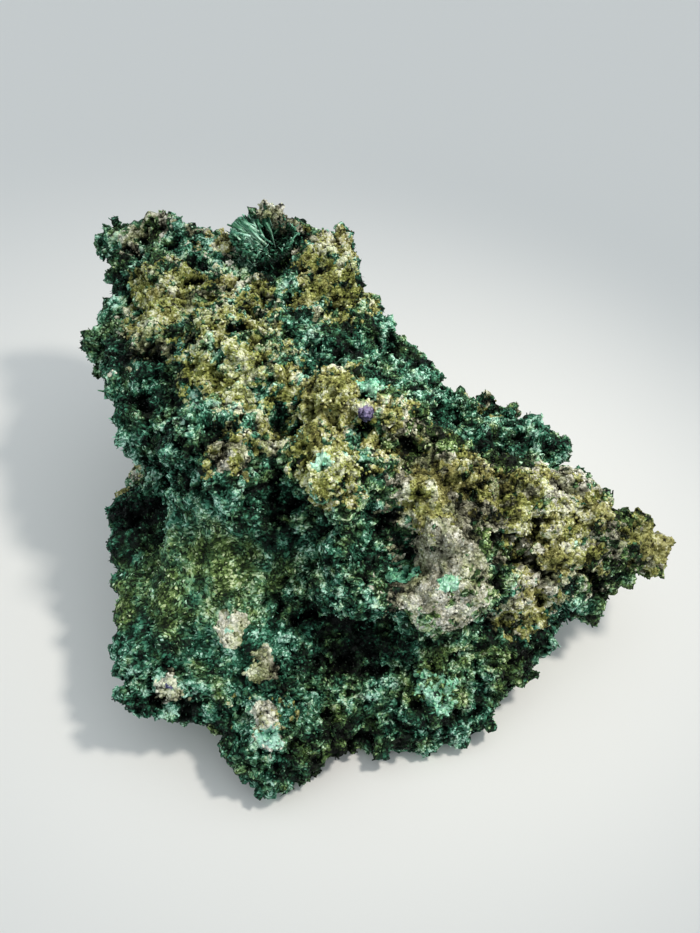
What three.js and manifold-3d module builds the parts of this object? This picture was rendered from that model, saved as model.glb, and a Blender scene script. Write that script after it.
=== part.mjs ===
// Brochantite specimen: one crumbly lump of copper-stained matrix with a green druse grown over it,
// standing on its own broken feet, and the crust of bladed crystals that lines the open hollow near its
// crown.
//
// Frame: millimetres, +X to the side that the arm points to, +Y to the back, +Z up. The origin is the
// middle of the specimen's box, on the surface that it rests on.
import * as THREE from 'three';
import { ImprovedNoise } from 'three/addons/math/ImprovedNoise.js';
import { mergeVertices } from 'three/addons/utils/BufferGeometryUtils.js';
import Module from 'manifold-3d';

const wasm = await Module();
wasm.setup();
const noise = new ImprovedNoise();

// ----------------------------------------------------------------------------------------------------
// Driving dimensions, in mm and degrees
// ----------------------------------------------------------------------------------------------------

// The big masses. turn is about x, y, z. square 2 is an ellipsoid, and 4 is nearly a block.
const MASSES = {
  crownTop: { at: [-24, 14, 37], radii: [18, 22, 9], turn: [0, 0, -3], square: 4 },
  core: { at: [-16, 8, 16], radii: [21, 25, 20], turn: [0, 0, -3], square: 3.2 },
  crownBack: { at: [-28, 31, 38], radii: [18, 8, 9], turn: [0, 0, -3], square: 3 },
  crownHorn: { at: [-46, 38, 40], radii: [6, 5, 5], turn: [0, 0, 30], square: 2.4 },
  crownPeak: { at: [-18, 32, 46], radii: [6, 5, 6], turn: [0, 0, 0], square: 2.4 },
  crownCorner: { at: [-9, 27, 38], radii: [6, 8, 8], turn: [0, 0, 0], square: 2.6 },
  leftLobe: { at: [-43, 13, 35], radii: [5, 7, 5], turn: [0, 0, 0], square: 2.4 },
  face: { at: [-19, -17, 18], radii: [18, 25, 14], turn: [46, 0, 0], square: 4 },
  rightFlank: { at: [-2, 4, 32], radii: [10, 13, 12], turn: [0, 0, 0], square: 2.8 },
  leftRim: { at: [-34, -15, 15], radii: [6, 14, 8], turn: [0, 0, 4], square: 2.6 },
  leftCorner: { at: [-32, -37, 11], radii: [6, 5, 5], turn: [0, 0, 0], square: 2.4 },
  frontBase: { at: [-2, -37, 5], radii: [19, 9, 7], turn: [0, 0, 0], square: 3 },
  frontFoot: { at: [-15, -45, 5], radii: [6, 8, 8], turn: [0, 0, 0], square: 2.4 },
  rightFoot: { at: [21, -28, 8], radii: [8, 8, 8], turn: [0, 0, 0], square: 2.6 },
  hump: { at: [-4, -17, 32], radii: [11, 10, 11], turn: [0, 0, 0], square: 2.6 },
  arm: { at: [16, -16, 22], radii: [22, 10, 14], turn: [0, 12, -3], square: 3 },
  armTip: { at: [38, -19, 20], radii: [9, 6, 7], turn: [0, 0, 0], square: 2.6 },
  backSlope: { at: [17, 3, 12], radii: [18, 12, 15], turn: [0, 0, -10], square: 2.8 },
  slab: { at: [10, -27, 18], radii: [9, 7, 16], turn: [-35, 0, 0], square: 2.8 },
};

// Lumps that stand out of the masses and run softly into them, as [x, y, z, radius].
const LUMPS = {
  crown: [[-8, 29, 41, 7], [-25, 2, 44, 8], [-35, 6, 41, 6], [-36, 22, 43, 6], [-37, -4, 32, 6]],
  yellowRidge: [[-8, -9, 43, 5], [-9, -18, 43, 5], [-8, -24, 41, 6], [-6, -26, 38, 4]],
  centre: [[0, -11, 43, 5], [6, -5, 37, 5]],
  leftFace: [[-24, -13, 40, 7], [-22, -22, 35, 6]],
  beigeRidge: [[10, -15, 35, 6], [6, -22, 36, 5], [9, -27, 33, 5], [11, -31, 28, 5], [14, -32, 22, 4]],
  overhang: [[-4, -26, 33, 4], [-5, -28, 28, 4], [-5, -32, 25, 4], [-1, -32, 24, 4]],
  mintLedge: [[4, -32, 25, 3], [8, -32, 25, 3], [5, -36, 15, 3], [10, -36, 11, 3]],
  paleVein: [[-21, -36, 20, 3], [-18, -37, 17, 3], [-16, -40, 13, 3], [-29, -40, 13, 4], [-32, -38, 15, 4]],
  armFront: [
    [25, -18, 30, 5], [34, -19, 26, 5], [28, -25, 24, 4], [15, -28, 31, 4], [19, -30, 23, 4], [27, -28, 17, 4],
  ],
  back: [
    [-30, 36, 28, 7], [-13, 34, 25, 7], [-34, 26, 18, 7], [-22, 33, 10, 7], [-4, 29, 18, 7], [0, 22, 8, 6],
    [9, 13, 24, 6], [13, 16, 8, 5], [26, 11, 10, 5],
  ],
  flanks: [[-37, 12, 12, 6], [-36, -2, 20, 6], [32, -3, 12, 6], [33, -12, 15, 6], [22, -22, 4, 6]],
};

// Nodules of druse and crumbs of matrix along the edges, in the same form. The skin swells over them, and
// each is joined on as a facetted lump of its own too.
const NODULES = {
  crownRim: [
    [-39, 33, 39, 6], [-44, 36, 39, 5], [-50, 40, 39, 3], [-47, 38, 42, 4], [-41, 38, 42, 5],
    [-38, 37, 45, 4], [-34, 33, 46, 3], [-28, 31, 46, 3], [-23, 32, 46, 3], [-18, 32, 46, 5],
    [-18, 33, 50, 3], [-20, 30, 51, 2], [-13, 32, 47, 3], [-6, 32, 44, 4],
  ],
  crownRight: [[-6, 22, 41, 3], [-1, 17, 38, 3], [2, 11, 37, 3], [5, 9, 36, 3], [8, 7, 34, 3], [7, 2, 34, 4]],
  crownLeft: [[-45, 30, 40, 3], [-44, 24, 39, 3], [-41, 0, 31, 3], [-39, -4, 29, 3]],
  leftLobe: [[-46, 19, 37, 4], [-48, 14, 35, 3], [-45, 9, 34, 3], [-42, 5, 34, 3], [-45, 13, 31, 3]],
  lowerLeft: [
    [-36, -12, 20, 5], [-36, -21, 17, 5], [-34, -31, 14, 5], [-41, -11, 22, 3], [-42, -14, 20, 2],
    [-41, -18, 19, 3], [-40, -24, 18, 3], [-39, -28, 16, 3], [-38, -34, 15, 3], [-37, -38, 14, 3],
    [-37, -41, 12, 3], [-33, -42, 11, 3], [-29, -42, 10, 3], [-24, -42, 9, 2],
  ],
  frontFoot: [
    [-15, -44, 5, 6], [-17, -48, 4, 5], [-13, -48, 3, 4], [-20, -47, 6, 2], [-18, -50, 3, 3], [-13, -50, 3, 3],
  ],
  front: [
    [-7, -42, 4, 5], [-8, -45, 3, 3], [-4, -45, 3, 2], [1, -44, 3, 3], [4, -44, 3, 2], [8, -43, 3, 3],
    [14, -42, 2, 3],
  ],
  rightLow: [[18, -33, 6, 5], [14, -39, 4, 5], [20, -35, 7, 2], [23, -34, 8, 3], [27, -31, 11, 3]],
  underArm: [[32, -25, 12, 2], [35, -25, 12, 3], [37, -23, 14, 2]],
  armTip: [
    [36, -18, 21, 6], [41, -19, 20, 5], [41, -22, 17, 2], [45, -21, 18, 3], [46, -18, 20, 3],
    [43, -16, 23, 3], [40, -17, 25, 3],
  ],
  armBack: [
    [36, -15, 27, 3], [32, -11, 28, 3], [30, 2, 21, 5], [31, 7, 20, 3], [28, 7, 21, 4],
    [25, 12, 21, 3], [21, 13, 22, 3], [16, 11, 24, 3],
  ],
};

// Hollows taken out of all that, in the same form.
const HOLLOWS = {
  leftNotch: [[-50, -1, 31, 8]],
  crownValley: [[-16, 12, 48, 4], [-12, 6, 47, 3], [-6, 8, 45, 3]],
  pits: [[-34, -3, 42, 2.5], [-22, -13, 47, 2.5], [-23, -40, 18, 2.5], [-19, -43, 12, 2]],
  leftRecess: [[-35, -14, 33, 4], [-36, -18, 27, 4], [-37, -23, 24, 4]],
  faceBand: [[-13, -21, 44, 3], [-13, -26, 39, 3.5], [-10, -30, 36, 4], [-19, -28, 39, 3]],
  hole: [[0, -29, 34, 4], [1, -27, 36, 3]],
  underCentre: [[-5, -17, 45, 2.5], [-1, -17, 42, 2.5]],
  shadedBay: [[-3, -38, 18, 6], [1, -41, 13, 4]],
  lowPits: [[8, -38, 8, 3.5], [16, -38, 7, 3]],
  armCreases: [[20, -28, 37, 3], [20, -32, 31, 3], [8, -34, 32, 2.5]],
  back: [
    [-22, 38, 20, 4.5], [-39, 19, 26, 4], [-7, 37, 12, 4], [3, 20, 27, 5], [20, 18, 17, 4], [-8, 37, 32, 3],
  ],
};

// How the masses run together, and the unevenness of the whole surface.
const BLEND = 1.3;
const HOLLOW_BLEND = 2;
const NODULE_ROOT = 0.9; // how far the skin swells past a nodule
const PARE = 0.9; // taken off all over, because the blends fill the masses out
const SWELL = { reach: 14, height: 1.8 };
const CREASE = { reach: 8, height: 2 };

// The skin: a ball of facets is let down on that surface and evened out along it.
const HEART = new THREE.Vector3(-10, -8, 20); // well inside the lump, where the ball's rays start
const SKIN_DETAIL = 15; // the ball has 20 * (SKIN_DETAIL + 1)^2 facets
const FURTHEST = 90; // the ball's first radius
const EVENING_ROUNDS = 24;

// The hollow near the crown, the lining of its lower part and the blades that grow on the lining.
const VUG = { at: new THREE.Vector3(-19, 27, 47), radius: 6.2 };
const LINING = { outer: 0.93, inner: 0.78, edge: 1 }; // shares of the hollow's radius, and mm below its middle
const BLADES = { count: 18, length: [3.5, 6.6], width: [0.6, 1], flatness: 0.45, sides: 4, rise: 0.65 };
const GOLDEN_ANGLE = Math.PI * (3 - Math.sqrt(5));

const TABLE = 300; // larger than the specimen, in every direction

// ----------------------------------------------------------------------------------------------------
// The surface as a field: how far a point lies outside it, negative inside
// ----------------------------------------------------------------------------------------------------

function massField({ at, radii, turn, square }) {
  const toOwn = new THREE.Matrix4().compose(
    new THREE.Vector3(...at),
    new THREE.Quaternion().setFromEuler(new THREE.Euler(...turn.map(THREE.MathUtils.degToRad))),
    new THREE.Vector3(1, 1, 1),
  ).invert();
  const least = Math.min(...radii);
  const q = new THREE.Vector3();
  return (p) => {
    q.copy(p).applyMatrix4(toOwn);
    const reach = Math.abs(q.x / radii[0]) ** square + Math.abs(q.y / radii[1]) ** square
      + Math.abs(q.z / radii[2]) ** square;
    return (reach ** (1 / square) - 1) * least;
  };
}

function ballField([x, y, z, radius]) {
  return (p) => Math.hypot(p.x - x, p.y - y, p.z - z) - radius;
}

const listed = (groups) => Object.values(groups).flat();
const filled = [
  ...Object.values(MASSES).map(massField),
  ...listed(LUMPS).map(ballField),
  ...listed(NODULES).map(([x, y, z, radius]) => ballField([x, y, z, radius + NODULE_ROOT])),
];
const hollows = listed(HOLLOWS).map(ballField);

function unevenness({ x, y, z }) {
  const swell = noise.noise(x / SWELL.reach, y / SWELL.reach, z / SWELL.reach);
  const crease = Math.abs(noise.noise(x / CREASE.reach + 7.3, y / CREASE.reach + 1.9, z / CREASE.reach + 4.1));
  return SWELL.height * swell + CREASE.height * (2 * crease - 0.5);
}

function depth(p) {
  let sum = 0;
  for (const field of filled) sum += Math.exp(-field(p) / BLEND);
  let outside = -BLEND * Math.log(sum + Number.MIN_VALUE) - unevenness(p) + PARE;
  for (const field of hollows) {
    const inHollow = -field(p);
    const overlap = Math.max(0, HOLLOW_BLEND - Math.abs(outside - inHollow));
    outside = Math.max(outside, inHollow) + overlap ** 2 / (4 * HOLLOW_BLEND);
  }
  return outside;
}

function slope(p) {
  const step = 0.4;
  const q = new THREE.Vector3();
  const at = (x, y, z) => depth(q.set(p.x + x, p.y + y, p.z + z));
  return new THREE.Vector3(
    at(step, 0, 0) - at(-step, 0, 0),
    at(0, step, 0) - at(0, -step, 0),
    at(0, 0, step) - at(0, 0, -step),
  ).divideScalar(2 * step);
}

// ----------------------------------------------------------------------------------------------------
// The skin
// ----------------------------------------------------------------------------------------------------

function welded(geometry) {
  geometry.deleteAttribute('normal');
  geometry.deleteAttribute('uv');
  return mergeVertices(geometry, 1e-4);
}

function letDown(ray) {
  const p = new THREE.Vector3();
  let reach = FURTHEST;
  while (reach > 1 && depth(p.copy(HEART).addScaledVector(ray, reach - 1)) > 0) reach -= 1;
  return ray.multiplyScalar(reach - 0.5).add(HEART);
}

// Moves a point towards the surface, by 1.5 mm at most, and returns the direction out of it there.
function settle(p) {
  const out = slope(p);
  const steepness = Math.max(out.length(), 0.3);
  out.divideScalar(steepness);
  p.addScaledVector(out, -THREE.MathUtils.clamp(depth(p) / steepness, -1.5, 1.5));
  return out;
}

function neighboursOf(geometry) {
  const index = geometry.index.array;
  const sets = Array.from({ length: geometry.getAttribute('position').count }, () => new Set());
  for (let i = 0; i < index.length; i += 3) {
    for (let k = 0; k < 3; k++) sets[index[i + k]].add(index[i + (k + 1) % 3]).add(index[i + (k + 2) % 3]);
  }
  return sets.map((set) => [...set]);
}

// The middle of a point's neighbours, in which far ones count for more, so that long facets get shorter.
function middleOf(p, around) {
  const middle = new THREE.Vector3();
  let total = 0;
  for (const n of around) {
    const weight = p.distanceTo(n);
    middle.addScaledVector(n, weight);
    total += weight;
  }
  return middle.divideScalar(total);
}

function skin() {
  const geometry = welded(new THREE.IcosahedronGeometry(1, SKIN_DETAIL));
  const position = geometry.getAttribute('position');
  const points = Array.from({ length: position.count }, (_, i) => (
    letDown(new THREE.Vector3().fromBufferAttribute(position, i))
  ));
  const neighbours = neighboursOf(geometry);
  for (let round = 0; round < EVENING_ROUNDS; round++) {
    // From round to round, evening moves the points less in and out of the surface, so that it doesn't wear
    // the relief away.
    const hold = Math.min(0.95, 0.5 + round / EVENING_ROUNDS);
    const middles = points.map((p, i) => middleOf(p, neighbours[i].map((n) => points[n])));
    points.forEach((p, i) => {
      const out = settle(p);
      const shift = middles[i].sub(p);
      shift.addScaledVector(out, -hold * shift.dot(out));
      p.addScaledVector(shift, 0.6);
    });
  }
  points.forEach((p, i) => {
    settle(p);
    settle(p);
    position.setXYZ(i, p.x, p.y, p.z);
  });
  return geometry;
}

// ----------------------------------------------------------------------------------------------------
// Solids
// ----------------------------------------------------------------------------------------------------

function solid(geometry) {
  return new wasm.Manifold(new wasm.Mesh({
    numProp: 3,
    vertProperties: new Float32Array(geometry.getAttribute('position').array),
    triVerts: new Uint32Array(geometry.index.array),
  }));
}

function geometryOf(made) {
  const { numVert, numProp, vertProperties, triVerts } = made.getMesh();
  const points = new Float32Array(numVert * 3);
  for (let i = 0; i < numVert; i++) points.set(vertProperties.subarray(i * numProp, i * numProp + 3), i * 3);
  const geometry = new THREE.BufferGeometry();
  geometry.setAttribute('position', new THREE.BufferAttribute(points, 3));
  geometry.setIndex(new THREE.BufferAttribute(triVerts, 1));
  return geometry;
}

function block(x, y, z) {
  return solid(welded(new THREE.BoxGeometry(TABLE, TABLE, TABLE)).translate(x, y, z));
}

// A ball of flat facets, pushed in and out a little.
function crumb(radius, detail, seed) {
  const geometry = welded(new THREE.IcosahedronGeometry(radius, detail).rotateX(seed).rotateY(2 * seed));
  const position = geometry.getAttribute('position');
  const p = new THREE.Vector3();
  for (let i = 0; i < position.count; i++) {
    p.fromBufferAttribute(position, i);
    p.multiplyScalar(1 + 0.35 * noise.noise(p.x * 0.6 + seed, p.y * 0.6, p.z * 0.6));
    position.setXYZ(i, p.x, p.y, p.z);
  }
  return geometry;
}

function hollowBall(share) {
  return solid(welded(new THREE.IcosahedronGeometry(VUG.radius * share, 1)).translate(...VUG.at));
}

function matrix() {
  let rock = solid(skin());
  listed(NODULES).forEach(([x, y, z, radius], i) => {
    rock = rock.add(solid(crumb(radius * 0.95, radius > 4 ? 1 : 0, i).translate(x, y, z)));
  });
  return rock.subtract(hollowBall(1)).subtract(block(0, 0, -TABLE / 2));
}

// Blade i stands on the lining: the first at its bottom, and the later ones further up, turned by the
// golden angle.
function blade(i) {
  const tilt = Math.acos(1 - BLADES.rise * (i + 0.5) / BLADES.count);
  const turn = i * GOLDEN_ANGLE;
  const outward = new THREE.Vector3(
    Math.sin(tilt) * Math.cos(turn),
    Math.sin(tilt) * Math.sin(turn),
    -Math.cos(tilt),
  );
  const root = outward.clone().multiplyScalar(VUG.radius * (LINING.outer + LINING.inner) / 2).add(VUG.at);
  const lean = new THREE.Vector3(noise.noise(i * 0.7, 0.5, 8.2), noise.noise(i * 0.7, 6.1, 2.7), 1);
  const along = lean.addScaledVector(outward, -0.9).normalize();
  const size = 0.5 + noise.noise(i * 1.7, 3.1, 0.4);
  const length = THREE.MathUtils.lerp(...BLADES.length, size);
  const width = THREE.MathUtils.lerp(...BLADES.width, 1 - size);
  return solid(welded(new THREE.CylinderGeometry(width * 0.3, width, length, BLADES.sides))
    .translate(0, length / 2, 0)
    .scale(1, 1, BLADES.flatness)
    .rotateY(2.3 * i)
    .applyQuaternion(new THREE.Quaternion().setFromUnitVectors(new THREE.Vector3(0, 1, 0), along))
    .translate(...root));
}

// The blades end where the ball of the hollow does, so that the crust stays clear of the matrix all round.
function vugCrystals() {
  const above = block(VUG.at.x, VUG.at.y, VUG.at.z - LINING.edge + TABLE / 2);
  let crust = hollowBall(LINING.outer).subtract(hollowBall(LINING.inner)).subtract(above);
  for (let i = 0; i < BLADES.count; i++) crust = crust.add(blade(i));
  return crust.intersect(hollowBall(LINING.outer));
}

// ----------------------------------------------------------------------------------------------------
// The specimen
// ----------------------------------------------------------------------------------------------------

function piece(name, made, color, roughness) {
  const material = new THREE.MeshStandardMaterial({ color, roughness, metalness: 0 });
  const mesh = new THREE.Mesh(geometryOf(made), material);
  mesh.name = name;
  return mesh;
}

const specimen = new THREE.Group();
specimen.add(piece('matrix', matrix(), 0x5a6b45, 0.9));
specimen.add(piece('vug_crystals', vugCrystals(), 0x2f7f69, 0.35));
const middle = new THREE.Box3().setFromObject(specimen).getCenter(new THREE.Vector3());
specimen.position.set(-middle.x, -middle.y, 0);
export default specimen;
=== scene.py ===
"""Brochantite specimen: its looks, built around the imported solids.

A copy of the lump's solid is remeshed and roughened into the crust. Tens of thousands of small crystals and
granules stand on that crust, each of the mineral that the lump shows at its place, and slender blades line
the hollow near the crown. Lengths are in millimetres until a mesh is written, which is in metres.
"""

import itertools
import logging
import math
from collections.abc import Sequence
from dataclasses import dataclass
from enum import Enum

import bpy
import numpy as np
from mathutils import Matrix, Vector


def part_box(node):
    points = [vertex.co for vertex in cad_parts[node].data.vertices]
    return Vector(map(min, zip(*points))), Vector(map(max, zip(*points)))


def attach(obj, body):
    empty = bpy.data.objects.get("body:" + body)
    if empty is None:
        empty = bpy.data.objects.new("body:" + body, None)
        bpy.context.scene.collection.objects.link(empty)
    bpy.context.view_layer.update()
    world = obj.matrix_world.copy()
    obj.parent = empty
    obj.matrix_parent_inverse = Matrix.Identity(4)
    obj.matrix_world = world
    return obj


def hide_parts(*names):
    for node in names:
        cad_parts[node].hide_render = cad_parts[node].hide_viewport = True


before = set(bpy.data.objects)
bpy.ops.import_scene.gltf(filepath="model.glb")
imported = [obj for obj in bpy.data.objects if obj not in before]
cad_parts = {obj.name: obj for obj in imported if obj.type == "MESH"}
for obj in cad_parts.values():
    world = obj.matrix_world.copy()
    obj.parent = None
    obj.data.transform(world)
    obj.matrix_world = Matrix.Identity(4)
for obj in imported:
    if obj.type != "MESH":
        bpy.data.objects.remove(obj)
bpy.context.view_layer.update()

log = logging.getLogger("specimen")

MM = 0.001
BODY = "root"
SEED = 20
Triple = tuple[float, float, float]


# ----------------------------------------------------------------------------------------------------
# Colours, nodes and noise
# ----------------------------------------------------------------------------------------------------


def linear(code: str) -> tuple[float, float, float, float]:
    """Turns an sRGB hex colour into Blender's linear colour.

    Args:
        code: the colour as "#rrggbb".

    Returns:
        Linear red, green, blue and an alpha of 1.
    """
    channels = [int(code[i:i + 2], 16) / 255 for i in (1, 3, 5)]
    return (*[c / 12.92 if c <= 0.04045 else ((c + 0.055) / 1.055) ** 2.4 for c in channels], 1.0)


def add_node(
    tree: bpy.types.NodeTree, kind: str, inputs: dict | None = None, **settings: object
) -> bpy.types.Node:
    """Adds a node with its settings and links.

    Args:
        tree: the node tree that it goes into.
        kind: the node's type, without "ShaderNode".
        inputs: for each input, by name or number, a value or the output socket that it is linked to.
        settings: the node's own properties.

    Returns:
        The new node.
    """
    made = tree.nodes.new("ShaderNode" + kind)
    for name, value in settings.items():
        setattr(made, name, value)
    for key, value in (inputs or {}).items():
        if isinstance(value, bpy.types.NodeSocket):
            tree.links.new(value, made.inputs[key])
        else:
            made.inputs[key].default_value = value
    return made


def add_ramp(
    tree: bpy.types.NodeTree, factor: bpy.types.NodeSocket, stops: Sequence[tuple[float, str]]
) -> bpy.types.Node:
    """Adds a colour ramp.

    Args:
        tree: the node tree that it goes into.
        factor: the socket that runs along the ramp.
        stops: the places from 0 to 1 with their sRGB hex colours.

    Returns:
        The ramp node.
    """
    ramp = add_node(tree, "ValToRGB", {"Fac": factor})
    elements = ramp.color_ramp.elements
    while len(elements) < len(stops):
        elements.new(0.5)
    for element, (place, code) in zip(elements, stops):
        element.position = place
        element.color = linear(code)
    return ramp


def lattice(cell: np.ndarray, seed: int) -> np.ndarray:
    """Gives each cell of a lattice a random value of its own.

    Args:
        cell: one row of three whole numbers for each cell.
        seed: a number that tells one lattice from another.

    Returns:
        A value from 0 to 1 for each cell.
    """
    mixed = (cell[:, 0] * 73856093) ^ (cell[:, 1] * 19349663) ^ (cell[:, 2] * 83492791) ^ (seed * 2654435761)
    mixed = (mixed ^ (mixed >> 13)) * 1274126177
    return ((mixed ^ (mixed >> 16)) & 0xFFFF) / 65535


def wander(points: np.ndarray, reach: float, seed: int) -> np.ndarray:
    """Gives smooth random values, the same in every run.

    Args:
        points: one row of x, y, z for each point.
        reach: how far apart the values change, in millimetres.
        seed: a number that tells one field from another.

    Returns:
        A value from -1 to 1 for each point.
    """
    scaled = points / reach + seed * 7.31
    corner = np.floor(scaled).astype(np.int64)
    part = scaled - corner
    part = part * part * (3 - 2 * part)
    total = np.zeros(len(points))
    for offset in itertools.product((0, 1), repeat=3):
        value = 2 * lattice(corner + np.array(offset), seed) - 1
        total += value * np.prod(np.where(offset, part, 1 - part), axis=1)
    return total


def layered(points: np.ndarray, layers: Sequence[tuple[float, float]], seed: int) -> np.ndarray:
    """Adds layers of smooth random values.

    Args:
        points: one row of x, y, z for each point.
        layers: the reach in millimetres and the weight of each layer.
        seed: a number that tells one field from another.

    Returns:
        The sum for each point.
    """
    return sum(weight * wander(points, reach, seed + i) for i, (reach, weight) in enumerate(layers))


def clusters(points: np.ndarray, reach: float, seed: int) -> tuple[np.ndarray, np.ndarray]:
    """Sorts points into round clusters with random middles.

    Args:
        points: one row of x, y, z for each point.
        reach: how far apart the middles are, in millimetres.
        seed: a number that tells one set of clusters from another.

    Returns:
        For each point, the way from its cluster's middle in shares of the reach, and its cluster's cell in
        the lattice, from which the cluster's own random values come.
    """
    scaled = points / reach
    corner = np.floor(scaled).astype(np.int64)
    nearest = np.full(len(points), np.inf)
    way = np.zeros_like(points)
    home = np.zeros_like(corner)
    for offset in itertools.product((-1, 0, 1), repeat=3):
        cell = corner + np.array(offset)
        apart = scaled - cell - np.stack([lattice(cell, seed + axis) for axis in range(3)], axis=1)
        distance = np.linalg.norm(apart, axis=1)
        closer = distance < nearest
        nearest = np.where(closer, distance, nearest)
        way = np.where(closer[:, None], apart, way)
        home = np.where(closer[:, None], cell, home)
    return way, home


# ----------------------------------------------------------------------------------------------------
# Minerals and where they lie
# ----------------------------------------------------------------------------------------------------


class Mineral(Enum):
    """The minerals that the specimen shows."""

    BROCHANTITE = 0
    OCHRE = 1
    GREY = 2
    MINT = 3
    AZURITE = 4


class Spot(Enum):
    """Forms of the lump: each one's rough middle, in shares of the box from its left, front and foot."""

    CROWN_HORN = (0.10, 0.90, 0.85)
    CROWN_RIM = (0.25, 0.90, 0.90)
    CROWN_PEAK = (0.35, 0.90, 0.95)
    CROWN_CORNER = (0.45, 0.85, 0.90)
    CROWN_SIDE = (0.15, 0.75, 0.85)
    CROWN_TOP = (0.25, 0.70, 0.90)
    CROWN_FRONT = (0.30, 0.55, 0.90)
    RIGHT_FLANK = (0.45, 0.75, 0.85)
    LEFT_LOBE = (0.10, 0.60, 0.80)
    VALLEY = (0.35, 0.45, 0.85)
    BANK = (0.45, 0.45, 0.85)
    HOLLOW_RIM = (0.50, 0.45, 0.90)
    BESIDE_HOLLOW = (0.50, 0.40, 0.85)
    HUMP = (0.45, 0.30, 0.80)
    KNOB = (0.30, 0.35, 0.80)
    SHOULDER = (0.55, 0.40, 0.80)
    SLAB_TOP = (0.60, 0.30, 0.70)
    SLAB = (0.60, 0.20, 0.55)
    SLAB_FOOT = (0.60, 0.15, 0.25)
    ARM_ROOT = (0.70, 0.35, 0.65)
    ARM = (0.80, 0.30, 0.50)
    ARM_BACK = (0.80, 0.40, 0.60)
    ARM_TIP = (0.95, 0.35, 0.40)
    UNDER_ARM = (0.75, 0.25, 0.35)
    FACE = (0.25, 0.25, 0.50)
    FACE_LEFT = (0.15, 0.25, 0.40)
    FACE_RIGHT = (0.35, 0.25, 0.45)
    VEIN_TOP = (0.30, 0.20, 0.35)
    VEIN_MIDDLE = (0.35, 0.15, 0.30)
    VEIN_END = (0.35, 0.10, 0.25)
    LEFT_KNOT = (0.20, 0.10, 0.30)
    FOOT = (0.35, 0.05, 0.20)
    BAY = (0.50, 0.20, 0.25)
    CAVE = (0.55, 0.25, 0.55)
    NOTCH = (0.15, 0.40, 0.45)
    FRONT_EDGE = (0.45, 0.05, 0.10)
    RIGHT_FOOT = (0.70, 0.20, 0.20)
    BACK_TOP = (0.50, 0.95, 0.65)
    BACK_MIDDLE = (0.40, 0.95, 0.40)
    BACK_LEFT = (0.20, 1.00, 0.30)
    BACK_RIGHT = (0.70, 0.85, 0.35)
    LEFT_SIDE = (0.05, 0.60, 0.40)
    RIGHT_SIDE = (0.85, 0.55, 0.20)


@dataclass(frozen=True)
class Patch:
    """A round patch on one of the lump's forms: its radius in millimetres and how full it is."""

    spot: Spot
    radius: float
    fill: float = 1.0


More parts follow.
